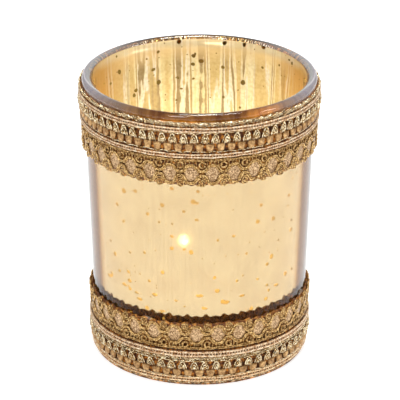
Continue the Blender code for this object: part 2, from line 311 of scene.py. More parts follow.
class Shader:
    """A node material, with short names for the nodes that this object's materials are made of."""

    def __init__(self, name):
        self.material = bpy.data.materials.new(name)
        self.material.use_nodes = True
        self.tree = self.material.node_tree
        self.principled = self.tree.nodes["Principled BSDF"]
        self.output = self.tree.nodes["Material Output"]
        self.place = self.node("ShaderNodeTexCoord").outputs["Object"]

    def node(self, kind, **settings):
        made = self.tree.nodes.new(kind)
        for key, value in settings.items():
            setattr(made, key, value)
        return made

    def feed(self, socket, value):
        if isinstance(value, bpy.types.NodeSocket):
            self.tree.links.new(value, socket)
        elif isinstance(value, tuple) and len(value) == 3 and socket.type == "RGBA":
            socket.default_value = (*value, 1.0)
        else:
            socket.default_value = value

    def set(self, **values):
        for key, value in values.items():
            self.feed(self.principled.inputs[key.replace("_", " ")], value)

    def math(self, operation, first, second=0.0, third=0.0, clamp=False):
        made = self.node("ShaderNodeMath", operation=operation, use_clamp=clamp)
        for socket, value in zip(made.inputs, (first, second, third)):
            self.feed(socket, value)
        return made.outputs[0]

    def noise(self, size_mm, detail=3.0, stretch=None, rough=0.5):
        """Noise with features of about size_mm, stretched by so many times along x, y and z."""
        place = self.place
        if stretch:
            mapping = self.node("ShaderNodeMapping")
            mapping.inputs["Scale"].default_value = tuple(1.0 / s for s in stretch)
            self.feed(mapping.inputs["Vector"], place)
            place = mapping.outputs[0]
        made = self.node("ShaderNodeTexNoise")
        self.feed(made.inputs["Vector"], place)
        made.inputs["Scale"].default_value = 1.0 / (size_mm * MM)
        made.inputs["Detail"].default_value = detail
        made.inputs["Roughness"].default_value = rough
        return made.outputs["Fac"]

    def cells(self, size_mm):
        """Cells of about size_mm: the red, green and blue of each cell's random colour."""
        made = self.node("ShaderNodeTexVoronoi")
        self.feed(made.inputs["Vector"], self.place)
        made.inputs["Scale"].default_value = 1.0 / (size_mm * MM)
        return self.channels(made.outputs["Color"])

    def channels(self, colour):
        made = self.node("ShaderNodeSeparateColor")
        self.feed(made.inputs[0], colour)
        return made.outputs

    def facing(self):
        """0 where the surface is seen square on, 1 where it is seen edge on."""
        made = self.node("ShaderNodeLayerWeight")
        made.inputs["Blend"].default_value = 0.5
        return made.outputs["Facing"]

    def vector(self, operation, first, second):
        made = self.node("ShaderNodeVectorMath", operation=operation)
        self.feed(made.inputs[0], first)
        self.feed(made.inputs[1], second)
        return made.outputs[0]

    def wall_place(self):
        """Places on the tumbler's wall rolled out flat, in metres: (along, height, 0)."""
        x, y, z = self.separate()
        turn = self.math("ARCTAN2", y, x)
        made = self.node("ShaderNodeCombineXYZ")
        self.feed(made.inputs[0], self.math("MULTIPLY", turn, 37.0 * MM))
        self.feed(made.inputs[1], z)
        return made.outputs[0]

    def ramp(self, value, *stops):
        """A colour ramp: stops are (position, colour)."""
        made = self.node("ShaderNodeValToRGB")
        elements = made.color_ramp.elements
        while len(elements) < len(stops):
            elements.new(0.5)
        for element, (position, colour) in zip(elements, stops):
            element.position = position
            element.color = (*colour, 1.0)
        self.feed(made.inputs["Fac"], value)
        return made.outputs["Color"]

    def span(self, value, low, high, to_low=0.0, to_high=1.0):
        made = self.node("ShaderNodeMapRange")
        for socket, number in zip(made.inputs, (value, low, high, to_low, to_high)):
            self.feed(socket, number)
        return made.outputs[0]

    def mix(self, share, first, second, blend="MIX"):
        made = self.node("ShaderNodeMix", data_type="RGBA", blend_type=blend)
        self.feed(made.inputs["Factor"], share)
        self.feed(made.inputs[6], first)
        self.feed(made.inputs[7], second)
        return made.outputs[2]

    def blend_shaders(self, share, first, second):
        made = self.node("ShaderNodeMixShader")
        for socket, value in zip(made.inputs, (share, first, second)):
            self.feed(socket, value)
        return made.outputs[0]

    def show(self, surface):
        self.feed(self.output.inputs["Surface"], surface)
        return self.material

    def bump(self, height, depth_mm, strength=1.0):
        made = self.node("ShaderNodeBump")
        made.inputs["Strength"].default_value = strength
        made.inputs["Distance"].default_value = depth_mm * MM
        self.feed(made.inputs["Height"], height)
        self.set(Normal=made.outputs[0])

    def separate(self):
        made = self.node("ShaderNodeSeparateXYZ")
        self.feed(made.inputs[0], self.place)
        return made.outputs


def yarn_material(name, dark, body, bright, metallic, roughness, fleck_mm, fleck_share, grain_mm=1.1):
    """Metallic yarn, its tone varying at random from dark through body to bright, with bright flecks of foil
    over a share of it.
    """
    shader = Shader(name)
    tone = shader.ramp(shader.noise(grain_mm, 4.0), (0.34, dark), (0.50, body), (0.66, bright))
    fleck = shader.cells(fleck_mm)
    shiny = shader.math("GREATER_THAN", fleck[0], 1.0 - fleck_share)
    colour = shader.mix(shader.math("MULTIPLY", shiny, 0.6), tone, bright)
    rough = shader.span(fleck[1], 0.0, 1.0, roughness * 0.6, roughness * 1.35)
    shader.bump(shader.noise(0.22, 2.0, rough=0.7), 0.10, 0.9)
    shader.set(Base_Color=colour, Roughness=rough, Metallic=metallic)
    return shader.material


def clear_glass():
    """Clear glass with painted shade and painted reflections. Where the wall is seen edge on it shows brown:
    painted shade that stands in for the dark surroundings it reflects. The lip is warm amber, with painted
    reflections that pale it where it is seen edge on and grey it at its sides, and a painted highlight along
    its inner edge.
    """
    shader = Shader("clear_glass_fine")
    facing = shader.facing()
    # Painted shade: the wall turns brown and dark where it is seen edge on
    wall = shader.ramp(
        facing,
        (0.570, (1.0, 1.0, 1.0)),
        (0.612, (0.76, 0.55, 0.34)),
        (0.640, (0.32, 0.17, 0.09)),
        (0.675, (0.10, 0.045, 0.03)),
    )
    # The lip's warm amber pales where it is seen edge on: a painted reflection
    lip = shader.ramp(
        facing,
        (0.20, (0.95, 0.66, 0.25)),
        (0.50, (0.85, 0.54, 0.19)),
        (0.75, (0.95, 0.80, 0.72)),
    )
    along, across, height = shader.separate()
    at_lip = shader.span(height, (LIP_START + 0.5) * MM, (LIP_START + 2.0) * MM)
    # Painted reflection: grey on the lip's sides, and less see-through there so that it shows
    painted_side_sheen = shader.span(shader.math("ABSOLUTE", along), 16.0 * MM, 36.0 * MM)
    painted_side_sheen = shader.math("MULTIPLY", painted_side_sheen, at_lip)
    lip = shader.mix(painted_side_sheen, lip, (0.90, 0.82, 0.88))
    # Painted highlight: near white along the lip's inner edge
    squares = [shader.math("POWER", place, 2.0) for place in (along, across)]
    radius = shader.math("SQRT", shader.math("ADD", *squares))
    painted_inner_highlight = shader.span(radius, (RIM_RADIUS - 1.9) * MM, (RIM_RADIUS - 1.2) * MM, 1.0, 0.0)
    lip = shader.mix(painted_inner_highlight, lip, (1.0, 0.97, 0.92))
    shader.set(Base_Color=shader.mix(at_lip, wall, lip), Roughness=0.0, IOR=1.5)
    shader.set(Specular_Tint=shader.mix(at_lip, (0.35, 0.18, 0.09), (1.0, 1.0, 1.0)))
    shader.set(Transmission_Weight=shader.span(painted_side_sheen, 0.0, 1.0, 1.0, 0.78))
    return shader.material


def spots(shader, cell_mm, share, smallest, largest, offset, longer=1.0):
    """A mask of ragged spots on the wall.

    share of the cells hold one, of a radius given in cells. longer stretches them along the wall.
    """
    ragged = shader.node("ShaderNodeTexNoise")
    shader.feed(ragged.inputs["Vector"], shader.place)
    ragged.inputs["Scale"].default_value = 1 / (1.6 * MM)
    shake = shader.vector("MULTIPLY", ragged.outputs["Color"], (0.9 * MM, 0.9 * MM, 0.9 * MM))
    shifted = shader.vector("ADD", shader.wall_place(), (offset * MM, offset * MM, 0))
    squeezed = shader.vector("MULTIPLY", shader.vector("ADD", shifted, shake), (1 / longer, 1, 1))
    cells = shader.node("ShaderNodeTexVoronoi", voronoi_dimensions="2D")
    shader.feed(cells.inputs["Vector"], squeezed)
    cells.inputs["Scale"].default_value = 1 / (cell_mm * MM)
    chance = shader.channels(cells.outputs["Color"])
    present = shader.math("GREATER_THAN", chance[0], 1.0 - share)
    radius = shader.span(chance[1], 0.0, 1.0, smallest, largest)
    edge = shader.math("SUBTRACT", radius, cells.outputs["Distance"])
    return shader.math("MULTIPLY", shader.span(edge, 0.0, 0.025), present)


def worn_spots(shader):
    """Where the coating has come off the glass: the same places on both of its faces."""
    large = spots(shader, 8.0, 0.50, 0.06, 0.13, 11.0)
    small = spots(shader, 3.4, 0.14, 0.10, 0.20, 5.0, 1.3)
    tiny = spots(shader, 2.1, 0.07, 0.10, 0.14, 2.0)
    dashes = spots(shader, 3.6, 0.55, 0.10, 0.23, 23.0, 2.2)
    height = shader.separate()[2]
    low_down = shader.math("COMPARE", height, 30.0 * MM, 4.0 * MM)
    dashes = shader.math("MULTIPLY", dashes, low_down)
    return shader.math("MAXIMUM", shader.math("MAXIMUM", large, dashes), shader.math("MAXIMUM", small, tiny))


def mirror_outside():
    """The coating seen through the glass: a pale gold mirror, faintly see-through and worn in spots. Near its
    top is a painted reflection: a rougher brown band, without worn spots, standing in for the dark trim
    reflected there.
    """
    shader = Shader("gold_mirror_outside")
    cloud = shader.noise(9.0, 4.0)
    tone = shader.ramp(cloud, (0.3, (0.610, 0.462, 0.260)), (0.7, (0.660, 0.508, 0.290)))
    height = shader.separate()[2]
    # Painted reflection: a brown band just below the coating's top, where the dark trim is reflected
    painted_reflection_band = shader.span(height, (COATING_TOP - 3.8) * MM, (COATING_TOP - 2.6) * MM)
    painted_reflection_colour = shader.ramp(shader.noise(2.6, 4.0), (0.35, (0.22, 0.085, 0.015)), (0.65, (0.48, 0.24, 0.06)))
    worn = shader.math("MULTIPLY", worn_spots(shader), shader.span(painted_reflection_band, 0.0, 1.0, 1.0, 0.0))
    colour = shader.mix(worn, shader.mix(painted_reflection_band, tone, painted_reflection_colour), (0.66, 0.39, 0.13))
    shader.set(Base_Color=colour, Metallic=1.0, Roughness=shader.span(painted_reflection_band, 0.0, 1.0, 0.05, 0.35))
    shader.bump(shader.noise(14.0, 1.0), 0.02, 0.25)
    see_through = shader.node("ShaderNodeBsdfTransparent")
    shader.feed(see_through.inputs["Color"], shader.mix(worn, (1.0, 0.74, 0.38), (1.0, 0.92, 0.76)))
    bare = shader.span(height, 45.0 * MM, 72.0 * MM, 0.60, 0.35)
    open_share = shader.math("MAXIMUM", shader.math("MULTIPLY", worn, bare), 0.12)
    mirror = shader.principled.outputs[0]
    return shader.show(shader.blend_shaders(open_share, mirror, see_through.outputs[0]))


def mirror_inside():
    """The coating seen from inside the tumbler, with specks. Its colour holds painted reflections: tan, cream
    and white stripes up and down for the lights mirrored in the wavy glass, and amber where it is seen edge on.
    What shows through its worn spots is darkened, more so higher up: painted shade.
    """
    shader = Shader("gold_mirror_inside")
    broad = shader.noise(6.5, 1.0, stretch=(1.0, 1.0, 90.0))
    fine = shader.noise(2.6, 2.0, stretch=(1.0, 1.0, 60.0))
    cloud = shader.noise(3.0, 5.0)
    # Painted reflection: stripes up and down for the lights mirrored in the wavy glass, the white ones painted
    # highlights; the bump follows the broad ones
    painted_streak = shader.math("MULTIPLY_ADD", fine, 0.14, shader.math("MULTIPLY", broad, 0.86))
    painted_streak = shader.math("MULTIPLY_ADD", shader.math("SUBTRACT", cloud, 0.5), 0.035, painted_streak)
    tan, amber, gold = (0.47, 0.36, 0.20), (0.84, 0.66, 0.33), (1.0, 0.90, 0.56)
    cream, white = (1.0, 0.94, 0.70), (1.0, 1.0, 0.92)
    tone = shader.ramp(
        painted_streak,
        (0.36, amber),
        (0.400, gold),
        (0.408, cream),
        (0.436, gold),
        (0.442, tan),
        (0.486, amber),
        (0.492, white),
        (0.512, cream),
        (0.518, tan),
        (0.545, tan),
        (0.551, cream),
        (0.585, gold),
        (0.592, white),
        (0.610, amber),
    )
    mottle = shader.ramp(shader.noise(1.1, 5.0), (0.35, (0.76, 0.73, 0.66)), (0.60, (0.90, 0.90, 0.86)))
    colour = shader.mix(1.0, tone, mottle, "MULTIPLY")
    height = shader.separate()[2]
    near_top = shader.span(height, 90.0 * MM, 96.0 * MM, 0.0, 0.7)
    colour = shader.mix(near_top, colour, (0.95, 0.72, 0.38))
    # Painted reflection: amber where the wall is seen edge on, for the gold walls mirrored in one another
    painted_interreflection = shader.span(shader.facing(), 0.26, 0.58, 0.0, 0.90)
    shader.set(Base_Color=shader.mix(painted_interreflection, colour, (0.60, 0.34, 0.09)), Metallic=0.20)
    shader.set(Specular_IOR_Level=0.2, Roughness=shader.span(fine, 0.3, 0.7, 0.12, 0.26))
    shader.bump(broad, 0.25, 0.5)
    see_through = shader.node("ShaderNodeBsdfTransparent")
    lit_through = shader.node("ShaderNodeBsdfTranslucent")
    lit_through.inputs["Color"].default_value = (1.0, 0.70, 0.18, 1.0)
    worn = worn_spots(shader)
    high_up = shader.span(height, 45.0 * MM, 72.0 * MM)
    # Painted shade: a brown filter over what shows through the worn spots, darker higher up where the trim
    # stands behind them
    painted_spot_shade = shader.mix(high_up, (0.60, 0.34, 0.14), (0.26, 0.07, 0.015))
    shader.feed(see_through.inputs["Color"], shader.mix(worn, (1.0, 1.0, 1.0), painted_spot_shade))
    lit_share = shader.math("MULTIPLY", worn, shader.span(high_up, 0.0, 1.0, 0.85, 0.15))
    thin = shader.blend_shaders(lit_share, see_through.outputs[0], lit_through.outputs[0])
    thin_share = shader.span(worn, 0.0, 1.0, 0.28, 1.0)
    return shader.show(shader.blend_shaders(thin_share, shader.principled.outputs[0], thin))


def aluminium():
    shader = Shader("bare_aluminium_fine")
    grain = shader.noise(0.5, 3.0, stretch=(6.0, 6.0, 1.0))
    tone = shader.ramp(grain, (0.3, (0.34, 0.34, 0.35)), (0.7, (0.58, 0.58, 0.59)))
    shader.set(Base_Color=tone, Metallic=1.0, Roughness=shader.span(grain, 0.3, 0.7, 0.20, 0.36))
    shader.bump(shader.noise(2.0, 3.0), 0.05, 0.4)
    return shader.material


def wax():
    """Wax that is darker on top, where it is melted."""
    shader = Shader("paraffin_wax_fine")
    cloud = shader.noise(2.5, 4.0)
    tone = shader.ramp(cloud, (0.3, (0.42, 0.32, 0.17)), (0.7, (0.52, 0.42, 0.26)))
    melted = shader.span(shader.separate()[2], (WAX_TOP - 0.6) * MM, (WAX_TOP - 0.2) * MM, 0.0, 0.85)
    tone = shader.mix(melted, tone, (0.13, 0.085, 0.032))
    shader.set(Base_Color=tone, Roughness=shader.span(cloud, 0.3, 0.7, 0.25, 0.5))
    shader.set(Subsurface_Weight=0.15, Subsurface_Radius=(4 * MM, 2.5 * MM, 1.2 * MM), Subsurface_Scale=1.0)
    shader.bump(shader.noise(1.2, 3.0), 0.08, 0.35)
    return shader.material


def wick_material(tip):
    """Cotton that is charred where it burns."""
    shader = Shader("cotton_wick_fine")
    height = shader.separate()[2]
    char = shader.span(height, (tip - 6.0) * MM, (tip - 3.0) * MM)
    fibre = shader.noise(0.3, 3.0)
    cotton = shader.ramp(fibre, (0.3, (0.62, 0.55, 0.40)), (0.7, (0.88, 0.84, 0.74)))
    shader.set(Base_Color=shader.mix(char, cotton, (0.015, 0.012, 0.010)), Roughness=0.9)
    shader.bump(fibre, 0.08, 0.6)
    return shader.material


def tinned_steel():
    shader = Shader("tinned_steel_fine")
    grain = shader.noise(0.8, 3.0)
    tone = shader.ramp(grain, (0.3, (0.52, 0.52, 0.54)), (0.7, (0.76, 0.76, 0.77)))
    shader.set(Base_Color=tone, Metallic=1.0, Roughness=shader.span(grain, 0.3, 0.7, 0.25, 0.45))
    shader.bump(grain, 0.03, 0.4)
    return shader.material


def flame_material(name, colour, strength, low, high):
    """A glowing layer of the flame, which adds its light to what is behind it and fades towards both ends."""
    shader = Shader(name)
    height = shader.span(shader.separate()[2], low * MM, high * MM)
    black, white = (0.0, 0.0, 0.0), (1.0, 1.0, 1.0)
    fade = shader.ramp(height, (0.0, black), (0.30, white), (0.60, white), (1.0, black))
    even = shader.node("ShaderNodeLightFalloff")
    shader.feed(even.inputs["Strength"], shader.math("MULTIPLY", fade, strength))
    even.inputs["Smooth"].default_value = (FLAME_EVEN_RANGE * MM) ** 2
    glow = shader.node("ShaderNodeEmission")
    shader.feed(glow.inputs["Color"], colour)
    shader.feed(glow.inputs["Strength"], even.outputs["Quadratic"])
    clear = shader.node("ShaderNodeBsdfTransparent")
    added = shader.node("ShaderNodeAddShader")
    shader.feed(added.inputs[0], glow.outputs[0])
    shader.feed(added.inputs[1], clear.outputs[0])
    return shader.show(added.outputs[0])


def glue_material():
    shader = Shader("clear_glue_fine")
    cloud = shader.noise(1.5, 4.0)
    tone = shader.ramp(cloud, (0.3, (0.62, 0.46, 0.30)), (0.7, (0.88, 0.76, 0.60)))
    shader.set(Base_Color=tone, Roughness=0.45, Specular_IOR_Level=0.2)
    shader.set(Alpha=shader.span(cloud, 0.3, 0.7, 0.10, 0.40))
    shader.bump(cloud, 0.2, 0.6)
    return shader.material


# Glass and coating


def make_glass():
    rim_inner = cavity_radius(GLASS_TOP)
    rim_round = (RIM_RADIUS - rim_inner) / 2
    foot_edge = 0.3
    heel = glass_radius(HEEL_ROUND)
    wall_foot = GLASS_FLOOR + CAVITY_ROUND
    wall_foot_radius = cavity_radius(wall_foot)
    outline = [
        (AXIS, FOOT_RECESS),
        (FOOT_RADIUS - 1.2, FOOT_RECESS),
        *arc(FOOT_RADIUS + foot_edge, foot_edge, foot_edge, 150, 270, 4),
        *arc(heel - HEEL_ROUND, HEEL_ROUND, HEEL_ROUND, -90, 0, 10),
        (glass_radius(LIP_START), LIP_START),
        *arc(rim_inner + rim_round, GLASS_TOP - rim_round, rim_round, 0, 180, 20),
        (cavity_radius(LIP_START), LIP_START),
        (wall_foot_radius, wall_foot),
        *arc(wall_foot_radius - CAVITY_ROUND, wall_foot, CAVITY_ROUND, 0, -90, 12),
        (AXIS, GLASS_FLOOR),
    ]
    rings = lathed(filled(outline, 3.0), 256)
    turned("tumbler_glass", rings, [clear_glass()], "holder", ["glass_tumbler"])


def make_coating():
    """The coating. Its inner face is slightly wavy, as hand-made glass is, and has a look of its own."""
    generator = np.random.default_rng(RNG_SEED)
    sides = 384
    ripple = smooth_noise(generator, sides, 46, 0.028)
    lean = smooth_noise(generator, sides, 30, 0.02)
    floor = GLASS_FLOOR - COATING_SUNK
    wall_foot = floor + CAVITY_ROUND
    wall_foot_radius = cavity_radius(GLASS_FLOOR + CAVITY_ROUND) + COATING_SUNK
    round_radius = wall_foot_radius - CAVITY_ROUND
    top = COATING_TOP + COATING_RISE
    top_radius = cavity_radius(top) + COATING_SUNK
    outer = [
        (AXIS, floor),
        *arc(round_radius, wall_foot, CAVITY_ROUND, -90, 0, 12),
        (top_radius, top),
    ]
    inner = [
        (top_radius - COATING_THICKNESS, top + 0.02),
        (wall_foot_radius - COATING_THICKNESS, wall_foot),
        *arc(round_radius, wall_foot, CAVITY_ROUND - COATING_THICKNESS, 0, -90, 12),
        (AXIS, floor + COATING_THICKNESS),
    ]
    outer, inner = filled(outer, 4.0), filled(inner, 4.0)

    def wavy(radius, height, turn):
        share = np.clip((height - 12.0) / 20.0, 0, 1) * np.clip((COATING_TOP - height) / 12.0, 0.0, 1)
        wave = (ripple + lean * (height / GLASS_TOP - 0.5)) * share
        return radius + wave * (np.arange(len(radius))[:, None] >= len(outer)), height

    rings = lathed(outer + inner, sides, wavy)
    looks = [mirror_outside(), mirror_inside()]
    lining = turned("mirror_lining", rings, looks, "holder", ["mirror_coating"])
    inside = np.zeros(len(lining.data.polygons), np.int32)
    inside[len(outer) * sides : (len(outer) + len(inner) - 1) * sides] = 1
    inside[-1] = 1
    lining.data.polygons.foreach_set("material_index", inside)


# Tealight


def make_tealight():
    make_cup()
    make_wax()
    make_wick_tab()
    wick_tip = make_wick()
    make_flame(wick_tip)


def make_cup():
    """Thin cup with a rolled edge and a finely crimped side."""
    bead = 0.5
    wall = 0.35
    foot_radius = 18.6
    top_radius = (CUP_HIGH.x - CUP_LOW.x) / 2 - bead

    def crimped(radius, heights, turn):
        share = np.clip((heights - CUP_FOOT - 1.0) / 3.0, 0, 1)
        share = share * np.clip((CUP_TOP - 1.2 - heights) / 2.0, 0, 1)
        return radius + 0.07 * share * np.cos(64 * turn) * (radius > 17), heights

    outline = [
        (AXIS, CUP_FOOT + 0.35),
        (11.0, CUP_FOOT + 0.35),
        *arc(11.6, CUP_FOOT + 0.2, 0.2, 90, 0, 3),
        *arc(12.2, CUP_FOOT + 0.15, 0.15, 180, 270, 3),
        *arc(foot_radius - 1.0, CUP_FOOT + 1.0, 1.0, -90, 0, 6),
        (top_radius, CUP_TOP - 2 * bead),
        *arc(top_radius, CUP_TOP - bead, bead, -60, 170, 10),
        (top_radius - wall, CUP_TOP - 2 * bead),
        (foot_radius - wall - 0.05, CUP_FOOT + 1.2),
        *arc(foot_radius - 1.2, CUP_FOOT + 1.2, 0.8, 0, -90, 5),
        (AXIS, CUP_FOOT + 0.5),
    ]
    rings = lathed(filled(outline, 1.2), 256, crimped, CANDLE_X)
    turned("candle_cup", rings, [aluminium()], "tealight", ["tealight_cup"])


def make_wax():
    """Puck of wax with a hole for the wick, a recess for its tab and a hollow where it has melted."""
    low, high = node_box("wax")
    side = (high.x - low.x) / 2

    def melted(radius, heights, turn):
        on_top = heights > WAX_TOP - 1.6
        wave = 0.10 * np.cos(3 * turn + 0.6) + 0.06 * np.cos(7 * turn + 2.0)
        return radius, heights + np.where(on_top & (radius > 8.0) & (radius < 16.8), wave, 0.0)

    outline = [
        (1.4, WAX_LOW + 4.2),
        (1.4, WAX_LOW + 0.5),
        (6.1, WAX_LOW + 0.45),
        (6.1, WAX_LOW + 0.05),
        (side - 0.7, WAX_LOW + 0.02),
        (side - 0.25, WAX_LOW + 0.8),
        (side - 0.02, WAX_TOP - 0.5),
        (side - 0.5, WAX_TOP - 0.02),
        (side - 1.2, WAX_TOP - 0.45),
        (16.0, WAX_TOP - 0.75),
        (12.5, WAX_TOP - 0.70),
        (11.0, WAX_TOP - 0.95),
        (9.0, WAX_TOP - 1.35),
        (4.0, WAX_TOP - 1.40),
        (1.6, WAX_TOP - 1.2),
        (0.80, WAX_TOP - 0.75),
    ]
    rings = lathed(filled(outline, 1.0), 192, melted, CANDLE_X)
    turned("candle_wax", rings, [wax()], "candle", ["wax"])


def make_wick_tab():
    """Stamped disc with a collar that grips the wick."""
    low = rows_of("wick_tab")[0]

    def stamped(radius, heights, turn):
        ribs = 0.12 * np.cos(8 * turn) * ((radius > 2.2) & (radius < 5.2))
        return radius, heights + ribs * (heights > low + 0.1)

    outline = [
        (AXIS, low),
        (5.9, low),
        (6.0, low + 0.15),
        (5.9, low + 0.3),
        (2.0, low + 0.3),
        (1.35, low + 0.6),
        (1.30, low + 3.9),
        (1.15, low + 4.0),
        (0.95, low + 3.9),
        (0.95, low + 0.4),
        (AXIS, low + 0.35),
    ]
    rings = lathed(filled(outline, 0.6), 64, stamped, CANDLE_X)
    turned("candle_tab", rings, [tinned_steel()], "candle", ["wick_tab"])


def make_wick():
    """Braided wick that leans over at its tip. Returns the tip's height."""
    low, high = rows_of("wick")
    count = 90
    share = np.linspace(0, 1, count)
    lean = 1.3 * np.clip((share - 0.7) / 0.3, 0, 1) ** 1.6
    trim = Trim(math.tau * BASE_RADIUS)
    path = np.stack([lean, low + (high - low - 0.3) * share, np.zeros(count)], -1)
    radius = 0.62 * np.where(share > 0.85, 0.85, 1.0)
    trim.yarn(path, radius, sides=18, ply=0.14, twist=2.2, plies=3)

    def stand(points):
        return np.stack([CANDLE_X + points[:, 0], -points[:, 2], points[:, 1]], -1)

    mesh = trim.mesh("candle_wick", stand)
    piece("candle_wick", mesh, [wick_material(high)], "candle", ["wick"])
    return high


def make_flame(wick_tip):
    """Nested teardrops of glowing gas round a small white core. The outermost, the halo, is a painted glow for
    the light scattered round the flame.
    """
    core = wick_tip + FLAME_CORE
    layers = (
        ("core", 1.45, core - 1.6, core + 2.0, (1.0, 0.93, 0.76), 3100.0),
        ("inner", 2.0, core - 2.6, core + 2.8, (1.0, 0.86, 0.55), 40.0),
        ("mantle", 2.9, core - 4.2, core + 4.0, (1.0, 0.80, 0.42), 6.0),
        # Painted glow: the halo stands in for light scattered round the flame
        ("halo", 4.4, core - 6.0, core + 5.5, (1.0, 0.76, 0.36), 2.2),
    )
    steps = 20
    for name, radius, low, high, colour, strength in layers:
        outline = []
        for step in range(steps + 1):
            rise = step / steps
            width = radius * math.sin(math.pi * rise) ** 0.8
            outline.append((max(0.03, width), low + (high - low) * rise))
        rings = lathed(outline, 40, centre_x=CANDLE_X - 0.1)
        glow = flame_material(f"flame_{name}_glow", colour, strength, low, high)
        turned(f"flame_{name}", rings, [glow], "candle", [])


# Trim: pieces shared by the two bands


def spaced(count, generator, girth, jitter=0.0):
    """Evenly spaced places along the girth, each moved by up to jitter millimetres."""
    return (np.arange(count) + 0.5) * girth / count + generator.uniform(-jitter, jitter, count)


def make_tape(prefix, low, high, girth, material):
    """Backing tape, ribbed by its warp threads. Its colour is painted shade in the gaps between the knots, with
    painted amber glints.
    """
    trim = Trim(girth)
    stations = 360
    steps = max(6, round((high - low) / 0.14))
    rise = np.linspace(low, high, steps)
    rib = 0.60 + 0.09 * np.cos(math.tau * rise / 0.56)
    section_height = np.concatenate([rise[::-1], rise])
    section_depth = np.concatenate([rib[::-1], np.full(steps, 0.12)])
    along = np.linspace(0, girth, stations, endpoint=False)
    grid = np.zeros((stations, 2 * steps, 3))
    grid[..., 0] = along[:, None]
    grid[..., 1] = section_height[None]
    grid[..., 2] = section_depth[None]
    trim.add(grid[:, ::-1], closed=True)
    trim.piece(f"{prefix}_tape", material, [f"{prefix}_braid_tape"], "woven_tape")


def make_plait(name, node, material, girth, seed, inwards=0.0):
    """A plaited cord: two raised ridges, joined by slanting stitches with dark gaps between them."""
    low, high = rows_of(node)
    middle, half = (low + high) / 2, (high - low) / 2
    generator = np.random.default_rng(seed)
    count = round(girth / 0.98)
    share = np.linspace(0, 1, 7)
    trim = Trim(girth)
    for side in (-1, 1):
        path = ring_path(girth, count * 5, middle + side * 0.62 * half, 1.42 - inwards)
        path[:, 1] += smooth_noise(generator, count * 5, 40, 0.04)
        trim.yarn(path, 0.34 * half, sides=8, closed=True, ply=0.18, twist=girth / count)
    for place in spaced(count, generator, girth, 0.05):
        along = place + 0.55 * (share - 0.5)
        height = middle + 0.70 * half * (2 * share - 1)
        depth = 1.20 - inwards + 0.34 * np.abs(2 * share - 1) ** 1.5
        trim.yarn(np.stack([along, height, depth], -1), 0.20 * half, sides=6)
    trim.piece(name, material, [node], "copper_gold_cord")


def ring_path(girth, count, height, depth):
    along = np.linspace(0, girth, count, endpoint=False)
    return np.stack([along, np.broadcast_to(height, along.shape), np.broadcast_to(depth, along.shape)], -1)


def add_thread(trim, height, depth, radius, generator, wander=0.08):
    """One thin twisted thread right round."""
    count = round(trim.girth / 0.3)
    path = ring_path(trim.girth, count, height, depth)
    path[:, 1] += smooth_noise(generator, count, 90, wander)
    path[:, 2] += smooth_noise(generator, count, 60, wander * 0.6)
    trim.yarn(path, radius, sides=6, closed=True, ply=0.22, twist=1.0)


def add_loops(trim, low, high, depth, loop, radius, generator):
    """A thread that runs round in small uneven loops between low and high."""
    loops = round(trim.girth / loop)
    count = loops * 12
    turn = np.linspace(0, math.tau * loops, count, endpoint=False)
    uneven = 1 + smooth_noise(generator, count, loops // 2, 0.22)
    middle, half = (low + high) / 2, (high - low) / 2
    path = ring_path(trim.girth, count, middle, depth)
    path[:, 0] += 0.55 * loop * np.sin(turn) * uneven
    path[:, 1] += half * np.cos(turn) * uneven
    path[:, 2] += 0.22 * np.sin(turn + 1.0) + smooth_noise(generator, count, loops // 3, 0.10)
    trim.yarn(path, radius, sides=5, closed=True)


def make_loop_thread(name, node, material, girth, seed, inwards=0.0):
    low, high = rows_of(node)
    generator = np.random.default_rng(seed)
    trim = Trim(girth)
    add_loops(trim, low + 0.1, high - 0.15, 1.00 - inwards, 0.95, 0.15, generator)
    add_loops(trim, low + 0.1, high - 0.35, 1.20 - inwards, 1.25, 0.13, generator)
    trim.piece(name, material, [node], "antique_gold_thread")


